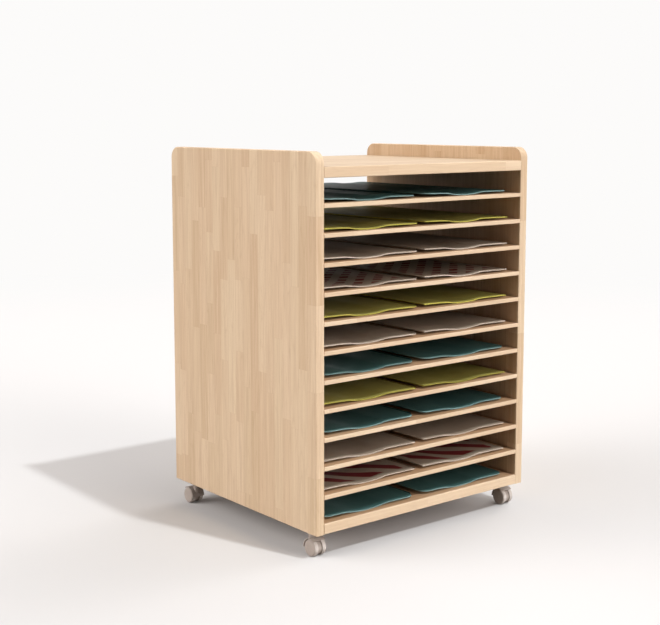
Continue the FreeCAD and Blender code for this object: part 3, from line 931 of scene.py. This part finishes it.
screws_low, screws_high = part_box("caster_screws")
plate_low, plate_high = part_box("back_right_caster_plate")
screws = grown("pan_head_screws", screw_recipe(), {
    "Head Radius": SCREW_HEAD_RADIUS,
    "Length": screws_high[2] - screws_low[2],
    "Thread Depth": THREAD_DEPTH,
    "Thread Pitch": THREAD_PITCH,
    "Cross Length": CROSS_LENGTH,
    "Cross Width": CROSS_WIDTH,
    "Cross Depth": CROSS_DEPTH,
    "Plate Place": [(low + high) / 2 for low, high in zip(plate_low, plate_high)],
    "Hole Reach": (plate_high[0] - plate_low[0]) / 2 - HOLE_INSET,
    "Low": screws_low[2],
    "Seed": SCREW_SEED,
    "Metal": zinc_plate("screw_zinc", SCREW_ZINC_SEED),
})
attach(screws, "rack")
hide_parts("caster_screws")

# ---------------------------------------------------------------------------
# Caster housings
# Moulded in one piece from warm grey nylon: a web between the two wheels with a
# boss that takes the stem, and a hood over the tops of both wheels.
# ---------------------------------------------------------------------------
NYLON = (0.440, 0.390, 0.355)
NYLON_SHADE = (0.370, 0.325, 0.292)
# (scale, detail, roughness)
FLOW_NOISE = (45.0, 3.0, 0.55)
SPARK_NOISE = (3200.0, 1.0, 0.5)
# (noise from, noise to, result from, result to)
FLOW_SHARE = (0.35, 0.7, 0.0, 0.55)
NYLON_ROUGHNESS = (0.3, 0.7, 0.40, 0.50)
NYLON_RELIEF = 0.14
NYLON_GLOSS = 0.45


def nylon(name, dusted_and_lit_by=None):
    """Satin moulded nylon: a fine spark texture and faint flow marks. Dust with
    painted light changes its colour, and dust its roughness."""
    material, s = new_recipe(name)
    place = s.object_place()
    flow = s.noise(place, *FLOW_NOISE)
    spark = s.noise(place, *SPARK_NOISE)
    colour = s.mix(s.spread(flow, *FLOW_SHARE), NYLON, NYLON_SHADE)
    rough = s.spread(flow, *NYLON_ROUGHNESS)
    if dusted_and_lit_by:
        colour, rough = dusted_and_lit_by(s, place, colour, rough)
    surface(s, colour, rough, spark, NYLON_RELIEF, FINE_DEPTH, {"Specular IOR Level": NYLON_GLOSS})
    return material


dress([corner + "_caster_housing" for corner in CORNERS], nylon("housing_nylon"))

# ---------------------------------------------------------------------------
# Caster wheels
# Two hollow nylon wheels to a caster, plain discs outside with a pressed-in hub
# cap, open and hubbed on the side of the web, turning freely on the axle.
# ---------------------------------------------------------------------------
WHEEL_STEPS = 72
WHEEL_OUTER_ROUND = 0.0036
WHEEL_OUTER_STEPS = 8
WHEEL_INNER_ROUND = 0.0008
WHEEL_INNER_STEPS = 4
WHEEL_RIM = 0.003
WHEEL_FACE = 0.003
WHEEL_HUB_RADIUS = 0.0045
WHEEL_BORE_RADIUS = 0.00205
WHEEL_BORE_CAP = 0.0015
HUB_CAP_RADIUS = 0.0062
HUB_CAP_GROOVE = 0.00025
SHARP_ARRIS = math.radians(32)
TREAD_WITHIN = 0.0002
# Floor dust on the tread, made lighter than the nylon as painted light
TREAD_DUST_AND_PAINTED_LIGHT = (0.680, 0.650, 0.625)
DUST_AND_LIGHT_EVERYWHERE = 0.6
DUST_AND_LIGHT_IN_SCUFFS = 0.35
DUST_ROUGHNESS = 0.3
SCUFF_NOISE = (260.0, 4.0, 0.65)
SCUFF_START = 0.42
SCUFF_FULL = 0.66


def dust_and_painted_light(s, place, colour, rough):
    """Floor dust, lighter than the nylon as painted light, where the attribute "tread" says that
    the wheel runs on the floor.
    """
    tread = s.attribute("tread")
    scuff = s.spread(s.noise(place, *SCUFF_NOISE), SCUFF_START, SCUFF_FULL)
    dust_and_light = s.math("ADD", s.math("MULTIPLY", scuff, DUST_AND_LIGHT_IN_SCUFFS), DUST_AND_LIGHT_EVERYWHERE)
    dusted_and_lit = s.math("MULTIPLY", tread, dust_and_light)
    rough = s.math("ADD", rough, s.math("MULTIPLY", dusted_and_lit, DUST_ROUGHNESS))
    return s.mix(dusted_and_lit, colour, TREAD_DUST_AND_PAINTED_LIGHT), rough


def bow(radius, depth, size, start, end, steps):
    """Points of a rounded arris in the wheel's section, from one angle to another."""
    angles = [math.radians(start + (end - start) * step / steps) for step in range(steps + 1)]
    return [(radius + size * math.cos(angle), depth + size * math.sin(angle)) for angle in angles]


def wheel_section(radius, width):
    """(distance from the axle, depth from the web side) round the wheel's section."""
    groove = HUB_CAP_GROOVE
    outer, inner = WHEEL_OUTER_ROUND, WHEEL_INNER_ROUND
    section = [(0.0, width), (HUB_CAP_RADIUS - groove, width), (HUB_CAP_RADIUS, width - groove)]
    section += [(HUB_CAP_RADIUS + groove, width - groove), (HUB_CAP_RADIUS + 2 * groove, width)]
    section += bow(radius - outer, width - outer, outer, 90, 0, WHEEL_OUTER_STEPS)
    section += bow(radius - inner, inner, inner, 0, -90, WHEEL_INNER_STEPS)
    section += [(radius - WHEEL_RIM, 0.0), (radius - WHEEL_RIM, width - WHEEL_FACE)]
    section += [(WHEEL_HUB_RADIUS, width - WHEEL_FACE), (WHEEL_HUB_RADIUS, 0.0)]
    section += [(WHEEL_BORE_RADIUS, 0.0), (WHEEL_BORE_RADIUS, width - WHEEL_BORE_CAP)]
    section += [(0.0, width - WHEEL_BORE_CAP)]
    return section


def turned_wheel(name, node, web_x):
    """The wheel's section turned about its axle, facing away from the web."""
    low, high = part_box(node)
    facing = 1 if low[0] > web_x else -1
    start_x = low[0] if facing > 0 else high[0]
    middle_y, middle_z = (low[1] + high[1]) / 2, (low[2] + high[2]) / 2
    radius = (high[2] - low[2]) / 2
    work = bmesh.new()
    tread = work.verts.layers.float.new("tread")
    rings = []
    for distance, depth in wheel_section(radius, high[0] - low[0]):
        steps = WHEEL_STEPS if distance > 0 else 1
        ring = []
        for step in range(steps):
            angle = 2 * math.pi * step / WHEEL_STEPS
            across, up = distance * math.cos(angle), distance * math.sin(angle)
            vert = work.verts.new((start_x + facing * depth, middle_y + across, middle_z + up))
            vert[tread] = 1.0 if distance > radius - TREAD_WITHIN else 0.0
            ring.append(vert)
        rings.append(ring)
    for one, other in zip(rings, rings[1:]):
        for step in range(WHEEL_STEPS):
            after = (step + 1) % WHEEL_STEPS
            around = [one[step % len(one)], one[after % len(one)],
                      other[after % len(other)], other[step % len(other)]]
            work.faces.new(list(dict.fromkeys(around)))
    bmesh.ops.recalc_face_normals(work, faces=work.faces)
    mesh = bpy.data.meshes.new(name)
    work.to_mesh(mesh)
    work.free()
    for face in mesh.polygons:
        face.use_smooth = True
    mesh.set_sharp_from_angle(angle=SHARP_ARRIS)
    piece = bpy.data.objects.new(name, mesh)
    bpy.context.scene.collection.objects.link(piece)
    return piece


wheel_nylon = nylon("wheel_nylon", dust_and_painted_light)
for corner in CORNERS:
    low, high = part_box(corner + "_caster_plate")
    for side in ("outer", "inner"):
        body = f"{corner}_wheel_{side}"
        wheel = turned_wheel(f"{corner}_{side}_wheel", body, (low[0] + high[0]) / 2)
        wheel.data.materials.append(wheel_nylon)
        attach(wheel, body)
        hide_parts(body)
